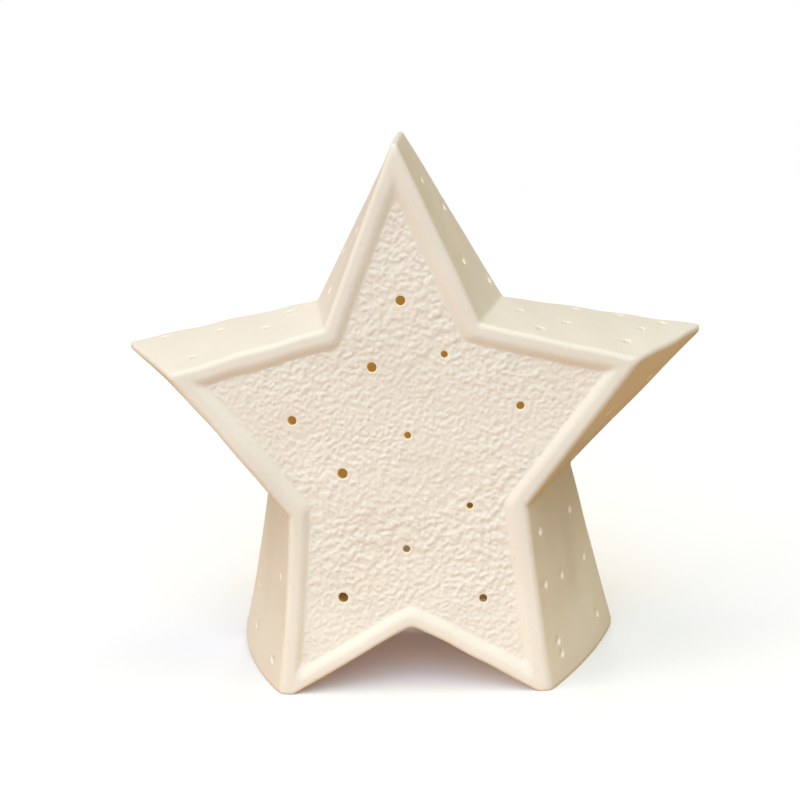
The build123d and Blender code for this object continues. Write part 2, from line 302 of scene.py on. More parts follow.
class Skin:
    """Points and faces that become one welded, closed mesh."""

    def __init__(self):
        self.points = []
        self.faces = []
        self.finishes = []
        self.count = 0
        self.finish = OUTER  # material slot of the faces that are added next

    def add(self, points, faces):
        self.points.append(np.asarray(points, float))
        self.faces += [tuple(int(k) + self.count for k in face) for face in faces]
        self.finishes += [self.finish] * len(faces)
        self.count += len(points)

    def strips(self, rows, closed=True):
        """Quads between neighbouring rows of points."""
        width = len(rows[0])
        span = width if closed else width - 1
        faces = []
        for r in range(len(rows) - 1):
            for k in range(span):
                after = (k + 1) % width
                faces.append((r * width + k, r * width + after, (r + 1) * width + after, (r + 1) * width + k))
        self.add(np.concatenate(rows), faces)

    def mesh(self, name, materials, change=None):
        points = np.concatenate(self.points)
        if change is not None:
            points = change(points)
        data = bpy.data.meshes.new(name)
        data.from_pydata((points * MM).tolist(), [], self.faces)
        data.polygons.foreach_set("material_index", self.finishes)
        work = bmesh.new()
        work.from_mesh(data)
        bmesh.ops.remove_doubles(work, verts=work.verts, dist=WELD * MM)
        bmesh.ops.dissolve_degenerate(work, edges=work.edges, dist=WELD * MM)
        bmesh.ops.recalc_face_normals(work, faces=work.faces)
        work.to_mesh(data)
        work.free()
        data.polygons.foreach_set("use_smooth", np.ones(len(data.polygons), bool))
        for material in materials:
            data.materials.append(material)
        return placed(name, data)


def inside(loop, points):
    """Which points are inside a closed loop."""
    result = np.zeros(len(points), bool)
    x, y = points[:, 0], points[:, 1]
    for a, b in zip(loop, np.roll(loop, -1, axis=0)):
        if a[1] == b[1]:
            continue
        crosses = (a[1] > y) != (b[1] > y)
        result ^= crosses & (x < (b[0] - a[0]) * (y - a[1]) / (b[1] - a[1]) + a[0])
    return result


def clearance(loop, points):
    """Distance from each point to the nearest point of a loop's vertices."""
    nearest = np.full(len(points), np.inf)
    for vertex in loop:
        nearest = np.minimum(nearest, np.hypot(points[:, 0] - vertex[0], points[:, 1] - vertex[1]))
    return nearest


def loose_grid(outer, holes, step, seed, extra=None):
    """Staggered points inside a loop and outside its holes, none close to an edge."""
    low, high = outer.min(axis=0), outer.max(axis=0)
    rows = np.arange(low[1] + step / 2, high[1], step * math.sqrt(3) / 2)
    columns = np.arange(low[0] + step / 2, high[0], step)
    x, y = np.meshgrid(columns, rows)
    x[1::2] += step / 2
    grid = np.stack([x.ravel(), y.ravel()], axis=1)
    grid += np.random.default_rng(seed).uniform(-0.12, 0.12, grid.shape) * step
    if extra is not None:
        grid = np.concatenate([grid[clearance(extra, grid) > step * 0.6], extra])
    grid = grid[inside(outer, grid)]
    grid = grid[clearance(outer, grid) > 0.55 * min(step, 1.0)]
    for hole in holes:
        near = np.hypot(*(grid - hole.mean(axis=0)).T) < np.ptp(hole, axis=0).max() + step
        close = near.copy()
        close[near] = inside(hole, grid[near]) | (clearance(hole, grid[near]) < 0.3)
        grid = grid[~close]
    return grid


def filled(outer, holes, loose):
    """Triangles between an outer loop and its holes through loose points: (points, triangles)."""
    loops = [outer] + holes
    points = np.concatenate(loops + [loose])
    owner = np.full(len(points), -1)
    edges = []
    start = 0
    for number, loop in enumerate(loops):
        index = np.arange(start, start + len(loop))
        edges += list(zip(index.tolist(), np.roll(index, -1).tolist()))
        owner[index] = number
        start += len(loop)
    made = delaunay_2d_cdt([Vector(p) for p in points.tolist()], edges, [], 2, 1e-7, True)
    source = np.array([ids[0] if ids else -1 for ids in made[3]])
    triangles = source[np.array(made[2])]
    owners = owner[triangles]
    on_one_loop = (owners[:, 0] >= 0) & (owners[:, 0] == owners[:, 1]) & (owners[:, 0] == owners[:, 2])
    keep = np.ones(len(triangles), bool)
    for number, loop in enumerate(loops):
        doubtful = on_one_loop & (owners[:, 0] == number)
        within = inside(loop, points[triangles[doubtful]].mean(axis=1))
        keep[doubtful] = within if number == 0 else ~within
    return points, triangles[keep]


# -------------------- relief of the panel
class Relief:
    """Pebbled clay surface: filtered random lumps with narrow valleys, in millimetres of height."""

    def __init__(self):
        self.pitch = 0.2
        self.low = np.array([-75.0, -5.0])
        size = (900, 760)
        noise = np.random.default_rng(7).standard_normal(size)
        down = np.fft.fftfreq(size[0], self.pitch)[:, None]
        across = np.fft.rfftfreq(size[1], self.pitch)[None, :]
        wave = np.hypot(down, across)
        spectrum = np.fft.rfft2(noise)

        def blurred(sigma, turn=0):
            """The noise blurred over a width. Another turn gives another, unlike field."""
            kept = np.exp(-2 * (math.pi * sigma * wave) ** 2)
            field = np.fft.irfft2(np.roll(spectrum, turn, axis=0) * kept, size)
            return field / field.std()

        lumps = blurred(0.36) + 0.35 * blurred(0.70, 3)
        lumps /= lumps.std()
        strength = 0.85 + 0.20 * np.tanh(blurred(6.0))
        self.height = RELIEF_HEIGHT * strength * (1.5 * np.tanh(0.6 * lumps - 0.12) + 0.12 * blurred(2.0, 5))

    def at(self, x, z):
        column = (x - self.low[0]) / self.pitch
        row = (z - self.low[1]) / self.pitch
        c, r = column.astype(int), row.astype(int)
        fc, fr = column - c, row - r
        h = self.height
        upper = h[r, c] * (1 - fc) + h[r, c + 1] * fc
        lower = h[r + 1, c] * (1 - fc) + h[r + 1, c + 1] * fc
        return upper * (1 - fr) + lower * fr


# -------------------- shell
def wall_point(front, back, u, v):
    """Point of the ruled surface between two edges, each given by its two ends."""
    u, v = np.asarray(u)[..., None], np.asarray(v)[..., None]
    a = front[0] + (front[1] - front[0]) * u
    b = back[0] + (back[1] - back[0]) * u
    return a + (b - a) * v


def meeting(front, back, start, direction):
    """Shares (u, v) at which lines from start along direction meet a ruled wall."""
    u = np.full(len(start), 0.5)
    v = np.full(len(start), 0.5)
    s = np.zeros(len(start))
    for _ in range(8):
        here = wall_point(front, back, u, v)
        miss = start + direction * s[:, None] - here
        du = (wall_point(front, back, u + TINY_SHARE, v) - here) / TINY_SHARE
        dv = (wall_point(front, back, u, v + TINY_SHARE) - here) / TINY_SHARE
        system = np.stack([du, dv, -np.broadcast_to(direction, du.shape)], axis=2)
        step = np.linalg.solve(system, miss[:, :, None])[:, :, 0]
        u, v, s = u + step[:, 0], v + step[:, 1], s + step[:, 2]
    return u, v


def circle(centre, direction, radius, sides=HOLE_SIDES):
    across = normalised(np.cross(direction, (0.0, 0.31, 0.95)))
    other = np.cross(direction, across)
    angle = np.linspace(0, 2 * math.pi, sides, endpoint=False)[:, None]
    return centre + radius * (across * np.cos(angle) + other * np.sin(angle))


def fan(sides):
    """Triangles from a middle point to a ring of points that follows it."""
    return [(0, k + 1, (k + 1) % sides + 1) for k in range(sides)]


def wall_hole_lines(i):
    """Centre and inward direction of each hole in wall i."""
    name, after = CORNER_NAMES[i], CORNER_NAMES[(i + 1) % 10]
    side = 1 if i < 5 else -1
    lines = []
    for hole_side, first, second, places in WALL_HOLES:
        if hole_side != side or {first, second} != {name, after}:
            continue
        edges = []
        for star, table_y, lean in ((FRONT_STAR, FRONT_Y, LEAN), (BACK_STAR, BACK_Y, -LEAN)):
            ends = [star[first], star[second]]
            edges.append([np.array([side * x, table_y + lean * z, z]) for x, z in ends])
        for u, v in places:
            centre = wall_point(*edges, u, v)
            run_along = wall_point(*edges, u + TINY_SHARE, v) - centre
            run_back = wall_point(*edges, u, v + TINY_SHARE) - centre
            lines.append((centre, -side * normalised(np.cross(run_along, run_back))))
    return lines


def add_walls(skin, front_ring, back_ring, step, hole_radius, rows, seed):
    """Ten ruled walls with their corner strips. Returns, for each hole, its loop on this surface."""
    depth_shares = np.linspace(0, 1, rows)
    loops = {}
    for i in range(10):
        j = (i + 1) % 10
        strip = [front_ring.arcs[i] + (back_ring.arcs[i] - front_ring.arcs[i]) * v for v in depth_shares]
        skin.strips(strip, closed=False)
        front = (front_ring.arcs[i][-1], front_ring.arcs[j][0])
        back = (back_ring.arcs[i][-1], back_ring.arcs[j][0])
        length = (np.linalg.norm(front[1] - front[0]) + np.linalg.norm(back[1] - back[0])) / 2
        depth = (np.linalg.norm(back[0] - front[0]) + np.linalg.norm(back[1] - front[1])) / 2
        scale = np.array([length, depth])
        shares = np.concatenate([[0.0], SHARES[i], [1.0]])
        edge = [(u, 0.0) for u in shares] + [(1.0, v) for v in depth_shares[1:-1]]
        edge += [(u, 1.0) for u in shares[::-1]] + [(0.0, v) for v in depth_shares[-2:0:-1]]
        outer = np.array(edge) * scale
        holes = []
        for number, (centre, inward) in enumerate(wall_hole_lines(i)):
            u, v = meeting(front, back, circle(centre, inward, hole_radius), inward)
            holes.append(np.stack([u, v], axis=1) * scale)
            loops[i, number] = wall_point(front, back, u, v)
        extra = None
        if "foot" in (CORNER_NAMES[i], CORNER_NAMES[j]) and step < INNER_STEP:
            reach = np.arange(FOOT_STEP / 2, 6.0, FOOT_STEP)
            from_foot = reach if CORNER_NAMES[i] == "foot" else length - reach
            a, b = np.meshgrid(from_foot, np.arange(0.5, depth, 1.2))
            extra = np.stack([a.ravel(), b.ravel()], axis=1)
        loose = loose_grid(outer, holes, step, seed + i, extra)
        points, triangles = filled(outer, holes, loose)
        skin.add(wall_point(front, back, *(points / scale).T), triangles)
    return loops


def front_profile():
    """(inset, depth) from the outer wall over the rounded frame and down its slope to the panel."""
    insets = [EDGE_ROUND * grow for grow, _ in quarter_turn(7)]
    insets += list(np.linspace(EDGE_ROUND, SLOPE_END, 17)[1:])
    stations = []
    for inset in insets:
        over_edge = max(EDGE_ROUND - inset, 0)
        edge = EDGE_ROUND - math.sqrt(EDGE_ROUND**2 - over_edge**2)
        crown = RIM_CROWN * min(abs(inset - RIM_MIDDLE) / RIM_MIDDLE, 1) ** 2
        down = max(inset - SLOPE_START, 0) / (SLOPE_END - SLOPE_START)
        fall = (PANEL_RECESS - RIM_CROWN) * (0.6 * float(smooth(down**1.5)) + 0.4 * down**2)
        stations.append((inset, edge + crown + fall))
    return stations


def front_ring(inset, depth):
    """Ring of the front, where the frame has its own width along each wall."""
    widening = (np.array(FRAME_WIDTHS) - EDGE_ROUND) / (SLOPE_END - EDGE_ROUND)
    insets = min(inset, EDGE_ROUND) + max(inset - EDGE_ROUND, 0) * widening
    insets = insets + np.array(FRONT_DRIFT) * max(1 - inset / SLOPE_END, 0)
    return Ring(FRONT_Y + depth, LEAN, insets, mixed_radii(min(inset / SLOPE_END, 1)))


def back_ring(inset, depth):
    insets = inset + np.array(BACK_DRIFT) * max(1 - inset / WALL, 0)
    return Ring(BACK_Y - depth, -LEAN, insets, mixed_radii(min(inset / WALL, 1)))


def add_panel(skin, edge_ring, inner_ring, relief):
    """The recessed panel with its relief, the inside of the front, and the pierced holes between them."""
    outward = np.array([0.0, -1.0, LEAN]) / math.hypot(1, LEAN)
    outer = edge_ring.points()[:, [0, 2]]
    inner = inner_ring.points()[:, [0, 2]]
    panel_y = FRONT_Y + SLOPE_DEPTH
    inner_y = FRONT_Y + PANEL_RECESS + WALL
    mouths, throats, tubes = [], [], []
    for x, z, diameter in FRONT_HOLES:
        centre = np.array([x, panel_y + LEAN * z, z])
        rows = [circle(centre - outward * deep, outward, diameter / 2 + wide) for wide, deep in HOLE_MOUTH]
        thickness = inner_y - panel_y
        rows.append(circle(centre - outward * (thickness - 0.3), outward, diameter / 2))
        rows.append(circle(centre - outward * thickness / math.hypot(1, LEAN), outward, diameter / 2 + 0.2))
        mouths.append(rows[0][:, [0, 2]])
        throats.append(rows[-1][:, [0, 2]])
        rows[-1][:, 1] = inner_y + LEAN * rows[-1][:, 2]
        tubes.append(rows)
    loose = loose_grid(outer, mouths, PANEL_STEP, 11)
    points, triangles = filled(outer, mouths, loose)
    fade = smooth((clearance(outer, points) + 0.1) / RELIEF_FADE)
    fade[: len(outer)] = 0
    for mouth in mouths:
        near = np.hypot(*(points - mouth.mean(axis=0)).T) - np.ptp(mouth, axis=0).max() / 2
        fade = fade * smooth(near / 1.0)
    height = relief.at(points[:, 0], points[:, 1]) * fade
    skin.add(on_plane(points, panel_y, LEAN) + outward * height[:, None], triangles)
    points, triangles = filled(inner, throats, loose_grid(inner, throats, INNER_STEP, 12))
    skin.add(on_plane(points, inner_y, LEAN), triangles)
    for rows in tubes:
        # the mouth of each hole takes the painted highlight, its deeper part the inside's painted shade and
        # painted glow
        skin.finish = LIP
        skin.strips(rows[: len(HOLE_MOUTH)])
        skin.finish = INNER
        skin.strips(rows[len(HOLE_MOUTH) - 1 :])
    skin.finish = OUTER


def worn_feet(points):
    """Swell the outer wall of each foot, wear its back corner round and soften the edge of its sole."""
    x, y, z = points.T.copy()
    outline = []
    for star in (FRONT_STAR, BACK_STAR):
        foot, waist = star["foot"], star["waist"]
        outline.append(np.interp(z, [foot[1], waist[1]], [foot[0], waist[0]]))
    share = np.clip((y - FRONT_Y - LEAN * z) / (BACK_Y - FRONT_Y - 2 * LEAN * z), 0, 1)
    wall_x = outline[0] + (outline[1] - outline[0]) * share
    near = smooth((np.abs(x) - wall_x + SWELL_REACH) / (SWELL_REACH - 2 * WALL))  # full within the wall
    low = smooth(1 - z / SWELL_HEIGHT)
    for side, swell in SWOLLEN_FEET.items():
        here = side * x > 0
        x = np.where(here, x + side * swell * near * low * np.sin(math.pi * share) ** 0.7, x)
    foot, waist = BACK_STAR["foot"], BACK_STAR["waist"]
    steepness = (foot[0] - waist[0]) / (waist[1] - foot[1])
    for side, radius in WORN_CORNERS.items():
        back = np.maximum(radius - (BACK_Y - LEAN * z - y), 0)
        down = np.maximum(radius - z, 0)
        longest = np.maximum(back, down)
        diagonal = np.hypot(back, down)
        pull = np.where((back > 0) & (down > 0) & (side * x > 0), longest / np.maximum(diagonal, 1e-9), 1.0)
        y = y - back * (1 - pull)
        z = z + down * (1 - pull)
        x = x - side * steepness * down * (1 - pull)
    lifted = (z + np.sqrt(z * z + SOLE_SOFTNESS**2)) / 2
    lifted = lifted - SOLE_SOFTNESS / 2 * np.exp(-np.abs(z) / 2.0)
    lifted = np.maximum(lifted, 0)
    share = (y - FRONT_Y) / (BACK_Y - FRONT_Y)
    y = y + LEAN * (lifted - z) * (1 - 2 * share)
    return np.stack([x, y, lifted], axis=1)


def hand_finish(points):
    """Slight unevenness of a slip-cast, sponged body. It fades towards the soles, which stay flat."""
    rng = np.random.default_rng(3)
    moved = points.copy()
    strength = HAND_WAVER * smooth(points[:, 2] / WAVER_RISE)
    for axis in range(3):
        total = np.zeros(len(points))
        for _ in range(7):
            direction = normalised(rng.standard_normal(3))
            wavelength = rng.uniform(16, 48)
            total += np.sin(points @ direction * 2 * math.pi / wavelength + rng.uniform(0, 2 * math.pi))
        moved[:, axis] += strength * total / math.sqrt(7)
    return moved


def fired(points):
    """Uneven, with worn feet, and moved by a hair where that would leave the box of the CAD shell."""
    low, high = (np.array(corner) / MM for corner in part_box("star_shell"))
    return np.clip(worn_feet(hand_finish(points)), low + BOX_MARGIN * np.array([1, 1, 0]), high - BOX_MARGIN)


def make_shell():
    """Front, walls and pierced holes, as one closed skin."""
    skin = Skin()
    rings = [front_ring(inset, depth) for inset, depth in front_profile()]
    skin.strips([ring.points() for ring in rings])

    fillet = []
    for grow, shrink in quarter_turn(5):
        depth = PANEL_RECESS + WALL + INNER_FILLET * grow
        fillet.append(Ring(FRONT_Y + depth, LEAN, WALL + INNER_FILLET * shrink, INNER_RADII))
    skin.strips([ring.points() for ring in fillet])
    add_panel(skin, rings[-1], fillet[0], Relief())

    back = [back_ring(BACK_ROUND * grow, BACK_ROUND * shrink) for grow, shrink in quarter_turn(6)]
    back += [back_ring(WALL - LIP_ROUND * shrink, LIP_ROUND * grow) for grow, shrink in quarter_turn(5)]
    skin.strips([ring.points() for ring in back])

    radius = WALL_HOLE_DIAMETER / 2
    mouths = add_walls(skin, rings[0], back[0], WALL_STEP, radius + HOLE_MOUTH[0][0], 31, 20)
    throats = add_walls(skin, fillet[-1], back[-1], INNER_STEP, radius, 16, 40)
    # the holes in the walls take the painted highlight and painted glow of the lips
    skin.finish = LIP
    for i in range(10):
        for number, (centre, inward) in enumerate(wall_hole_lines(i)):
            mouth = mouths[i, number]
            rows = [mouth]
            for wide, deep in HOLE_MOUTH[1:]:
                grown = circle(centre, inward, radius + wide)
                lift = ((mouth - grown) @ inward)[:, None] * inward
                rows.append(grown + lift + inward * deep)
            skin.strips(rows + [throats[i, number]])
    return skin.mesh("bisque_star_shell", [BISQUE, INSIDE_PAINTED_SHADE_GLOW, LIPS_PAINTED_HIGHLIGHT], fired)


# -------------------- back panel and shelf
def door_outline(grown):
    """The doorway as (x, z), moved outwards by grown: a low slot for the cup, and an arch over its middle."""
    half = SLOT_WIDTH / 2 + grown
    sill = SHELF_TOP - grown
    lintel = SHELF_TOP + SLOT_HEIGHT
    corner = SLOT_CORNER + grown
    arch = ARCH_RADIUS + grown
    spring = math.asin(grown / arch)
    centre_x, centre_z = SLOT_WIDTH / 2 - SLOT_CORNER, lintel - SLOT_CORNER
    bottom = [(x, sill) for x in np.linspace(-half, half, 30)]
    jamb = [(half, z) for z in np.linspace(sill, centre_z, 9)[1:-1]]
    turn = np.linspace(0, math.pi / 2, 7)
    shoulder = [(centre_x + corner * math.cos(a), centre_z + corner * math.sin(a)) for a in turn]
    head = [(x, lintel + grown) for x in np.linspace(centre_x, arch * math.cos(spring), 5)[1:]]
    right = jamb + shoulder + head
    over = np.linspace(spring, math.pi - spring, 34)[1:-1]
    crown = [(arch * math.cos(a), lintel + arch * math.sin(a)) for a in over]
    left = [(-x, z) for x, z in right[::-1]]
    return np.array(bottom + right + crown + left)


def make_back_panel():
    """Slab with a doorway, joined to the walls by fillets of slip."""
    skin = Skin()
    near, far = BACK_INSET, BACK_INSET + BACK_THICKNESS
    outside = [(WALL + SLIP * shrink, near - SLIP * grow) for grow, shrink in quarter_turn(4)]
    inside_edge = [(inset, near + far - depth) for inset, depth in outside[::-1]]
    stations = outside + [(WALL - BURIED, near - SLIP), (WALL - BURIED, far + SLIP)] + inside_edge
    rings = [Ring(BACK_Y - depth, -LEAN, inset, INNER_RADII).points() for inset, depth in stations]
    skin.strips(rings[:6])
    # the inner faces take the inside's painted shade and painted glow
    skin.finish = INNER
    skin.strips(rings[5:])
    # the doorway's edge from the outside inwards: (widening, depth)
    rows = [(0.8, near), (0.24, near + 0.24), (0.0, near + 0.8)]
    rows += [(0.0, far - 0.5), (0.15, far - 0.15), (0.5, far)]
    doors = [door_outline(grown) for grown, _ in rows]
    for k, ring, finish in ((0, rings[0], OUTER), (-1, rings[-1], INNER)):
        outer = ring[:, [0, 2]]
        points, triangles = filled(outer, [doors[k]], loose_grid(outer, [doors[k]], BACK_STEP, 60))
        skin.finish = finish
        skin.add(on_plane(points, BACK_Y - rows[k][1], -LEAN), triangles)
    skin.finish = OUTER
    skin.strips([on_plane(door, BACK_Y - depth, -LEAN) for door, (_, depth) in zip(doors, rows)])
    return skin.mesh("bisque_back_panel", [BISQUE, INSIDE_PAINTED_SHADE_GLOW], fired)


def curb_distance(x, y):
    """Distance from the middle line of the horseshoe curb."""
    round_front = np.abs(np.hypot(x, y - CUP_Y) - CURB_MIDDLE)
    along_arm = np.abs(np.abs(x) - CURB_MIDDLE)
    past_end = np.hypot(np.abs(x) - CURB_MIDDLE, y - CURB_END)
    return np.where(y < CUP_Y, round_front, np.where(y < CURB_END, along_arm, past_end))


def horseshoe(offset):
    """Points at a distance from the curb's middle line, on both sides of it and round its two ends."""
    points = []
    for radius in (CURB_MIDDLE + offset, CURB_MIDDLE - offset):
        for a in np.linspace(math.pi, 2 * math.pi, 96):
            points.append((radius * math.cos(a), CUP_Y + radius * math.sin(a)))
        for y in np.arange(CUP_Y + 0.7, CURB_END, 0.7):
            points += [(radius, y), (-radius, y)]
    for side in (-1, 1):
        for a in np.linspace(0, math.pi, 7):
            points.append((side * CURB_MIDDLE + offset * math.cos(a), CURB_END + offset * math.sin(a)))
    return np.array(points)


def rectangle(low, high):
    """Points round a rectangle, with the same number on it whatever its size."""
    (x0, y0), (x1, y1) = low, high
    shares = np.linspace(0, 1, int(SHELF_WIDTH / SHELF_STEP))[:-1]
    sides = [[(x0 + (x1 - x0) * k, y0) for k in shares], [(x1, y0 + (y1 - y0) * k) for k in shares]]
    sides += [[(x1 - (x1 - x0) * k, y1) for k in shares], [(x0, y1 - (y1 - y0) * k) for k in shares]]
    return np.array([p for side in sides for p in side])


def make_shelf():
    """Slab with softened edges, and a rounded curb that rises out of it. Its ends run into the walls."""
    skin = Skin()
    front = FRONT_Y + PANEL_RECESS + WALL + LEAN * SHELF_TOP - SHELF_INTO_WALL
    back = BACK_Y - BACK_INSET - BACK_THICKNESS - LEAN * SHELF_TOP + SHELF_INTO_WALL
    low, high = np.array([-SHELF_WIDTH / 2, front]), np.array([SHELF_WIDTH / 2, back])
    rows = [(SHELF_ROUND * shrink, SHELF_TOP - SHELF_ROUND * grow) for grow, shrink in quarter_turn(5)]
    rows += [(inset, SHELF_TOP + SHELF_BOTTOM - z) for inset, z in rows[::-1]]
    loops = [rectangle(low + inset, high - inset) for inset, _ in rows]
    skin.strips([np.column_stack([loop, np.full(len(loop), z)]) for loop, (_, z) in zip(loops, rows)])
    reach = 1.45 * CURB_WIDTH / 2  # the curb runs out softly beyond its width
    curb = np.concatenate([horseshoe(reach * share) for share in (0.0, 0.25, 0.5, 0.72, 0.9, 1.05)])
    curb = np.unique(curb.round(4), axis=0)
    points, triangles = filled(loops[0], [], loose_grid(loops[0], [], 2.2, 70, curb))
    share = np.clip(curb_distance(points[:, 0], points[:, 1]) / reach, 0, 1)
    height = SHELF_TOP + CURB_HEIGHT * (1 - share**2) ** 1.5
    skin.add(np.column_stack([points, height]), triangles)
    points, triangles = filled(loops[-1], [], loose_grid(loops[-1], [], 5.0, 71))
    skin.add(np.column_stack([points, np.full(len(points), SHELF_BOTTOM)]), triangles)
    # the whole shelf takes the inside's painted shade and painted glow
    return skin.mesh("bisque_shelf", [INSIDE_PAINTED_SHADE_GLOW])


# -------------------- tealight
def turned(name, profile, sides, material, change=None):
    """A closed shape turned round the tealight's axis. A profile that starts on the axis also ends on it."""
    skin = Skin()
    angle = np.linspace(0, 2 * math.pi, sides, endpoint=False)
    rows = []
    for r, z in profile:
        if r > 0:
            radius, height = np.full(sides, float(r)), np.full(sides, float(z))
            if change is not None:
                radius, height = change(radius, height, angle)
            rows.append(np.stack([radius * np.cos(angle), CUP_Y + radius * np.sin(angle), height], axis=1))
    skin.strips(rows if profile[0][0] == 0 else rows + rows[:1])
    for (r, z), row in ((profile[0], rows[0]), (profile[-1], rows[-1])):
        if r == 0:
            skin.add(np.concatenate([[(0, CUP_Y, z)], row]), fan(sides))
    return skin.mesh(name, [material])


def bend(centre, radius, first, last, count):
    """Points of an arc in a profile, from one angle to another, in degrees."""
    turns = np.radians(np.linspace(first, last, count))
    return [(centre[0] + radius * math.cos(a), centre[1] + radius * math.sin(a)) for a in turns]


def make_cup():
    """Drawn foil cup: a stepped base, a wall with fine pleats, and a lip rolled outwards."""
    bottom, top = CUP_BOTTOM, CUP_BOTTOM + CUP_HEIGHT
    corner = 0.7  # rounding between the base and the wall
    lip = (CUP_RADIUS - CUP_BEAD, top - CUP_BEAD)
    foot, wall = CUP_FOOT_RADIUS, CUP_WALL_RADIUS
    step_r, step_z = 13.5, 0.22  # the middle of the base is raised inside this radius
    slope = 0.5
    profile = [(0, bottom + step_z), (6, bottom + step_z), (step_r - slope, bottom + step_z)]
    profile += [(step_r, bottom + step_z / 2), (step_r + slope, bottom), (foot - 2, bottom)]
    profile += bend((foot - corner, bottom + corner), corner, -90, -5, 6)
    low = bottom + corner
    high = lip[1] - 0.5
    climb = [(foot + (wall - foot) * k, low + (high - low) * k) for k in np.linspace(0.06, 1, 20)]
    profile += climb
    profile += bend(lip, CUP_BEAD, -60, 180, 16)
    profile += [(r - CUP_GAUGE, z) for r, z in climb[-2::-1]]
    profile += bend((foot - corner, bottom + corner), corner - CUP_GAUGE, -5, -90, 5)
    floor = bottom + CUP_GAUGE
    profile += [(step_r + slope, floor), (step_r, floor + step_z / 2), (step_r - slope, floor + step_z)]
    profile += [(6, floor + step_z), (0, floor + step_z)]
    pleat = 0.033

    def pleated(radius, height, angle):
        up = np.clip((height - bottom - 1.0) / (CUP_HEIGHT - 2.6), 0, 1)
        strength = pleat * np.sin(math.pi * up) ** 0.7 * (radius > foot - 0.5)
        fold = np.sin(64 * angle) + 0.5 * np.sin(101 * angle + 0.7) + 0.4 * np.sin(23 * angle)
        return radius + strength * fold - 0.03, height

    return turned("rolled_cup", profile, 360, ALUMINIUM, pleated)


def make_wax():
    """Cast wax: its top sinks towards the wick, and creeps up a little at the wick and at its own edge."""
    low, high = WAX_BOTTOM, WAX_TOP
    edge = CUP_WALL_RADIUS - CUP_GAUGE - WAX_GAP - 0.05
    foot = CUP_FOOT_RADIUS - CUP_GAUGE - WAX_GAP
    hole = WICK_RADIUS + TUCKED
    tab, neck = TAB_RADIUS + TAB_GAP, TAB_NECK_RADIUS + TAB_GAP
    tab_top, neck_top = low + TAB_THICKNESS + TAB_GAP, low + TAB_NECK_HEIGHT + 0.1
    round_foot, round_edge = 0.6, 0.35
    profile = [(tab, low + TUCKED), (foot - round_foot, low + TUCKED)]
    profile += bend((foot - round_foot, low + TUCKED + round_foot), round_foot, -80, -5, 5)
    climb = np.linspace(0.05, 1, 10)
    profile += [(foot + (edge - foot) * k, low + 0.7 + (high - low - 1.2) * k) for k in climb]
    profile += bend((edge - round_edge, high - round_edge), round_edge, 10, 80, 5)
    for r in np.linspace(edge - 0.6, hole + 0.05, 34):
        sink = WAX_DISH * (1 - (r / edge) ** 1.6)
        creep = 0.45 * math.exp(-(r - hole) / 0.55) - 0.06 * math.exp(-((r - 5.5) / 1.8) ** 2)
        profile.append((r, high - TUCKED - sink + creep))
    profile += [(hole, high - WAX_DISH), (hole, neck_top), (neck, neck_top), (neck, tab_top), (tab, tab_top)]

    def cooled(radius, height, angle):
        on_top = smooth((height - high + 1.2) / 0.4) * smooth((edge - radius) / 1.5)
        ripple = np.sin(3 * angle + 0.4) * 0.04 + np.sin(7 * angle + radius * 0.5) * 0.02
        return radius, height + ripple * on_top * smooth((radius - hole) / 3.0)

    return turned("cast_wax", profile, 128, WAX, cooled)


def make_wick_tab():
    """Tinned disc with a pressed ring, and a neck crimped on to the wick from four sides."""
    low = WAX_BOTTOM + TUCKED
    inner = WICK_RADIUS + TUCKED / 2
    high = low + TAB_THICKNESS
    neck = TAB_NECK_RADIUS
    top = low + TAB_NECK_HEIGHT
    profile = [(inner, low), (TAB_RADIUS - 0.12, low), (TAB_RADIUS, low + 0.1), (TAB_RADIUS, high - 0.1)]
    profile += [(TAB_RADIUS - 0.12, high), (4.6, high), (4.3, high + 0.12), (3.9, high + 0.12), (3.6, high)]
    profile += [(neck + 0.5, high), (neck + 0.15, high + 0.12), (neck, high + 0.5)]
    profile += [(neck, z) for z in np.linspace(high + 0.8, top - 0.15, 9)]
    profile += [(neck - 0.1, top), (inner + 0.08, top)]

    def crimped(radius, height, angle):
        pinch = np.exp(-(((height - low - 2.9) / 0.7) ** 2)) * (radius > neck - 0.2) * (radius < neck + 0.2)
        return radius - 0.28 * pinch * (0.5 + 0.5 * np.cos(4 * angle)), height

    return turned("crimped_wick_tab", profile, 64, TINNED, crimped)


def make_wick():
    """Braided cotton wick, a little bent at its tip."""
    skin = Skin()
    sides = 40
    angle = np.linspace(0, 2 * math.pi, sides, endpoint=False)
    low, high = WAX_BOTTOM + 0.05, WAX_TOP - WAX_DISH + WICK_STAND - 0.4
    rows = []
    for z in np.linspace(low, high, 170):
        lean = max(z - WAX_TOP, 0) / WICK_STAND
        strand = np.maximum(np.cos(3 * angle - 2.4 * z), np.cos(3 * angle + 2.4 * z))
        end = min((high - z) / 0.5, 1.0)
        radius = (WICK_RADIUS - 0.13 + 0.1 * strand) * (0.75 + 0.25 * math.sqrt(max(end, 0)))
        x = 0.9 * lean**2 + radius * np.cos(angle)
        y = CUP_Y + 0.35 * lean**2 + radius * np.sin(angle)
        rows.append(np.stack([x, y, np.full(sides, z)], axis=1))
    skin.strips(rows)
    skin.add(np.concatenate([[rows[0].mean(axis=0)], rows[0]]), fan(sides))
    skin.add(np.concatenate([[rows[-1].mean(axis=0) + (0, 0, 0.2)], rows[-1]]), fan(sides))
    return skin.mesh("braided_wick", [COTTON])


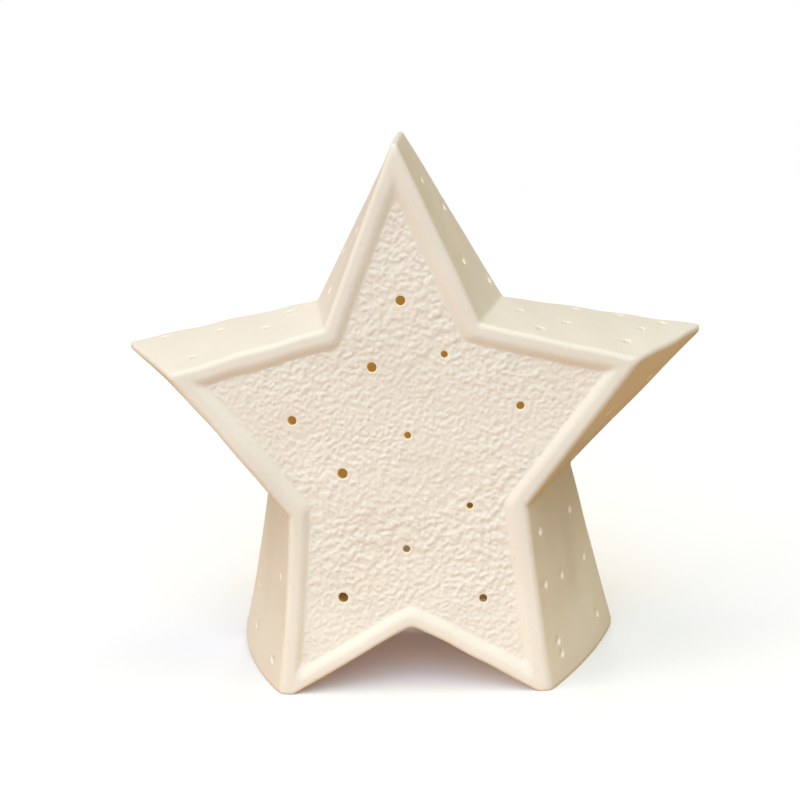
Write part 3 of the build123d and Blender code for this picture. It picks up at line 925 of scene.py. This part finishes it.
# -------------------- materials
class Nodes:
    """The node tree of a material or of the world, with short ways to add to it."""

    def __init__(self, owner, shader="Principled BSDF"):
        owner.use_nodes = True
        self.owner = owner
        self.tree = owner.node_tree
        self.shader = self.tree.nodes[shader]
        self.place = self.add("ShaderNodeTexCoord", {}, "Object")

    def feed(self, node, inputs):
        """Join the inputs that are given a socket, and set those that are given a number or a colour."""
        for name, given in inputs.items():
            if isinstance(given, bpy.types.NodeSocket):
                self.tree.links.new(given, node.inputs[name])
            else:
                node.inputs[name].default_value = given

    def add(self, kind, inputs, output, **settings):
        """Add a node, and give back one of its outputs."""
        node = self.tree.nodes.new(kind)
        for key, value in settings.items():
            setattr(node, key, value)
        self.feed(node, inputs)
        return node.outputs[output]

    def shade(self, inputs):
        """Feed the shader, and give back the material or world."""
        self.feed(self.shader, inputs)
        return self.owner

    def noise(self, scale, detail=3.0, roughness=0.5, stretch=(1, 1, 1)):
        place = self.add("ShaderNodeMapping", {"Vector": self.place, "Scale": stretch}, "Vector")
        inputs = {"Vector": place, "Scale": scale, "Detail": detail, "Roughness": roughness}
        return self.add("ShaderNodeTexNoise", inputs, "Fac")

    def ramp(self, source, *stops):
        """A colour that follows the source through stops, each a position and a colour."""
        colour = self.add("ShaderNodeValToRGB", {"Fac": source}, "Color")
        elements = colour.node.color_ramp.elements
        for element, (position, tone) in zip(elements, stops, strict=True):
            element.position = position
            element.color = (*tone, 1)
        return colour

    def span(self, source, low, high, start=0.3, end=0.7):
        """A number that runs from low to high while the source runs from start to end."""
        inputs = {"Value": source, "From Min": start, "From Max": end, "To Min": low, "To Max": high}
        return self.add("ShaderNodeMapRange", inputs, "Result")

    def by_height(self, top, low, high):
        """A factor that runs from low at the table to high at the top height, in metres."""
        height = self.add("ShaderNodeSeparateXYZ", {"Vector": self.place}, "Z")
        return self.span(height, low, high, 0.0, top)

    def beside(self, point, reach, low):
        """A factor that is low at the point, and at its mirror image on the left, and 1 beyond the reach.

        It reaches further from front to back, so the point is one of a short line across the wall.
        """
        kind = "ShaderNodeVectorMath"
        mirror = self.add(kind, {0: self.place}, "Vector", operation="ABSOLUTE")
        squeezed = self.add(kind, {0: mirror, 1: (1.0, 0.35, 1.0)}, "Vector", operation="MULTIPLY")
        away = self.add(kind, {0: squeezed, 1: point}, "Value", operation="DISTANCE")
        return self.span(away, low, 1.0, 0.0, reach)

    def blend(self, mode, factor, first, second):
        inputs = {"Factor": factor, "A": first, "B": second}
        return self.add("ShaderNodeMix", inputs, "Result", data_type="RGBA", blend_type=mode)

    def by_ray(self, colour, *kinds):
        """A colour for all rays but the kinds that are given one of their own."""
        tone = (*colour, 1)
        for kind, own in kinds:
            tone = self.blend("MIX", self.add("ShaderNodeLightPath", {}, kind), tone, (*own, 1))
        return tone

    def bump(self, *layers):
        """Normal of (height socket, depth in millimetres) pairs, one above the other."""
        below = {}
        for height, depth in layers:
            inputs = {"Strength": 1.0, "Distance": depth * MM, "Height": height, **below}
            below = {"Normal": self.add("ShaderNodeBump", inputs, "Normal")}
        return below["Normal"]


def nodes_of(name):
    return Nodes(bpy.data.materials.new(name))


def bisque_material():
    """Unglazed cream porcelain: fine-grained and faintly clouded, with painted shade under the arms and
    painted light that makes it paler low down.
    """
    n = nodes_of("bisque_porcelain")
    cloud = n.ramp(n.noise(28, 2), (0.3, (0.800, 0.722, 0.612)), (0.7, (0.830, 0.756, 0.650)))
    speck = n.ramp(n.noise(900, 4, 0.6), (0.28, (0.93, 0.91, 0.87)), (0.42, (1, 1, 1)))
    tone = cloud
    # painted light: paler towards the table; painted shade: darker beside the crook under each arm
    for factor in (speck, n.by_height(0.110, 1.12, 1.0), n.beside(PAINTED_SHADE_CROOK, 0.026, 0.80)):
        tone = n.blend("MULTIPLY", 1.0, tone, factor)
    return n.shade({
        "Base Color": tone,
        "Roughness": n.span(n.noise(60), 0.50, 0.62),
        "Specular IOR Level": 0.35,
        "Normal": n.bump((n.noise(420), 0.05), (n.noise(2600), 0.012)),
    })


def inside_painted_shade_glow_material():
    """The inside: a warmer, darker copy of the porcelain as painted shade, with a painted glow that stands
    for light inside, faint below about 40 mm and warm above about 56 mm.
    """
    n = nodes_of("bisque_inside_painted_shade_glow")
    # painted glow, rising with height
    painted_glow = n.ramp(n.by_height(0.090, 0.0, 1.0), (0.45, (0.10, 0.05, 0.01)), (0.62, (1.0, 0.61, 0.14)))
    return n.shade({
        "Base Color": n.ramp(n.noise(40), (0.3, (0.60, 0.41, 0.18)), (0.7, (0.66, 0.46, 0.22))),
        "Roughness": 0.75,
        "Specular IOR Level": 0.2,
        "Emission Color": painted_glow,
        "Emission Strength": 0.21,
        "Normal": n.bump((n.noise(300), 0.06)),
    })


def lip_painted_highlight_material():
    """Edge of a pierced hole: paler than the porcelain as a painted highlight, with a painted glow as of
    light let by the thin edge.
    """
    n = nodes_of("bisque_lips_painted_highlight")
    return n.shade({
        "Base Color": n.ramp(n.noise(500), (0.3, (0.85, 0.78, 0.64)), (0.7, (0.89, 0.82, 0.69))),
        "Roughness": 0.6,
        "Specular IOR Level": 0.15,
        "Emission Color": (1.0, 0.84, 0.56, 1),
        "Emission Strength": 0.09,
        "Normal": n.bump((n.noise(900), 0.02)),
    })


def aluminium_material():
    n = nodes_of("cup_aluminium")
    return n.shade({
        "Base Color": n.ramp(n.noise(260), (0.35, (0.80, 0.80, 0.81)), (0.65, (0.88, 0.88, 0.885))),
        "Roughness": n.span(n.noise(180, 4), 0.24, 0.40),
        "Metallic": 1.0,
        "Normal": n.bump((n.noise(1400, 2, stretch=(1, 1, 0.06)), 0.02), (n.noise(240, 2), 0.03)),
    })


def wax_material():
    n = nodes_of("wax")
    return n.shade({
        "Base Color": n.ramp(n.noise(110), (0.35, (0.86, 0.83, 0.77)), (0.65, (0.91, 0.89, 0.84))),
        "Roughness": n.span(n.noise(150), 0.45, 0.60),
        "Specular IOR Level": 0.15,
        "Subsurface Weight": 0.35,
        "Subsurface Scale": 0.002,
        "Subsurface Radius": (1.0, 0.8, 0.6),
        "Normal": n.bump((n.noise(500), 0.03), (n.noise(70, 2), 0.15)),
    })


def cotton_material():
    n = nodes_of("wick_cotton")
    return n.shade({
        "Base Color": n.ramp(n.noise(1500), (0.35, (0.72, 0.68, 0.58)), (0.65, (0.86, 0.83, 0.75))),
        "Roughness": 0.85,
        "Sheen Weight": 0.25,
        "Normal": n.bump((n.noise(5000, stretch=(1, 1, 0.25)), 0.03)),
    })


def tinned_material():
    n = nodes_of("tinned_steel")
    return n.shade({
        "Base Color": n.ramp(n.noise(700), (0.35, (0.62, 0.62, 0.60)), (0.65, (0.74, 0.74, 0.72))),
        "Roughness": n.span(n.noise(900), 0.25, 0.45),
        "Metallic": 1.0,
        "Normal": n.bump((n.noise(1200, 2), 0.01)),
    })


def floor_material():
    """White to the camera and grey in reflections. It throws light back as a brown table would."""
    n = nodes_of("pale_floor")
    kinds = [("Is Camera Ray", (0.97, 0.98, 1.0)), ("Is Diffuse Ray", (0.60, 0.35, 0.13))]
    return n.shade({
        "Base Color": n.by_ray((0.44, 0.41, 0.37), *kinds),
        "Roughness": 0.9,
        "Specular IOR Level": 0.0,
    })


# -------------------- stage, light and camera
def soft_sun(name, source, softness, strength, colour):
    """Even light from a direction, as from a large soft box far away. softness is its angle in degrees."""
    lamp = bpy.data.lights.new(name, "SUN")
    lamp.angle = math.radians(softness)
    lamp.energy = strength * math.pi
    lamp.color = colour
    obj = placed(name, lamp)
    obj.rotation_euler = Vector(source).to_track_quat("Z", "Y").to_euler()
    return obj


def make_stage():
    half = 3.0
    data = bpy.data.meshes.new("floor")
    corners = [(-half, -half, 0), (half, -half, 0), (half, half, 0), (-half, half, 0)]
    data.from_pydata(corners, [], [(0, 1, 2, 3)])
    data.materials.append(floor_material())
    placed("floor", data)


def make_world():
    """White to the camera, grey in reflections, and nearly black in bounced light."""
    world = bpy.data.worlds.new("studio")
    bpy.context.scene.world = world
    n = Nodes(world, "Background")
    kinds = [("Is Camera Ray", (1, 1, 1)), ("Is Diffuse Ray", (0.03, 0.03, 0.03))]
    n.shade({"Color": n.by_ray((0.45, 0.45, 0.45), *kinds)})


def make_camera():
    data = bpy.data.cameras.new("camera")
    data.sensor_width = 36.0
    data.lens = LENS
    camera = placed("camera", data)
    pan, tilt, roll = (Matrix.Rotation(angle, 4, axis) for angle, axis in zip(CAMERA_TURN, "ZXY"))
    upright = Matrix.Rotation(math.pi / 2, 4, "X")
    camera.matrix_world = Matrix.Translation(CAMERA_PLACE) @ (pan @ tilt @ roll) @ upright
    bpy.context.scene.camera = camera


def make_light():
    soft_sun("top", (0.0, -0.05, 1.0), 60, 0.48, (1.0, 0.85, 0.76))
    soft_sun("front", (0.0, -1.0, 0.7), 60, 0.435, (1.0, 1.28, 1.66))
    soft_sun("left", (-0.85, -0.35, 0.35), 50, 0.40, (1.0, 0.975, 0.84))
    soft_sun("right", (0.80, -0.25, 0.9), 60, 0.155, (1.0, 1.10, 0.35))
    back = soft_sun("back", (0.0, 1.0, 0.10), 14, 0.50, (1.0, 1.02, 1.06))
    back.visible_glossy = False  # no glare on the wax, seen from the front through the lowest holes


SLOPE_DEPTH = front_profile()[-1][1]

make_camera()
make_world()
make_light()
make_stage()
bpy.context.scene.view_settings.view_transform = "Standard"
bpy.context.scene.cycles.max_bounces = 16
bpy.context.scene.cycles.diffuse_bounces = 12

BISQUE = bisque_material()
INSIDE_PAINTED_SHADE_GLOW = inside_painted_shade_glow_material()
LIPS_PAINTED_HIGHLIGHT = lip_painted_highlight_material()
ALUMINIUM = aluminium_material()
WAX = wax_material()
COTTON = cotton_material()
TINNED = tinned_material()

# each piece: how it is made, the body it rides on, the part it stands for and the finish it takes
PIECES = [
    (make_shell, "holder", "star_shell", "bisque_porcelain"),
    (make_back_panel, "holder", "back_panel", "bisque_porcelain"),
    (make_shelf, "holder", "tealight_shelf", "bisque_porcelain"),
    (make_cup, "tealight", "tealight_cup", "cup_aluminium"),
    (make_wax, "wax_insert", "wax", "wax"),
    (make_wick_tab, "wax_insert", "wick_tab", "tinned_steel"),
    (make_wick, "wax_insert", "wick", "wick_cotton"),
]
for make, body, node, finish in PIECES:
    piece = make()
    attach(piece, body)
    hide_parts(node)
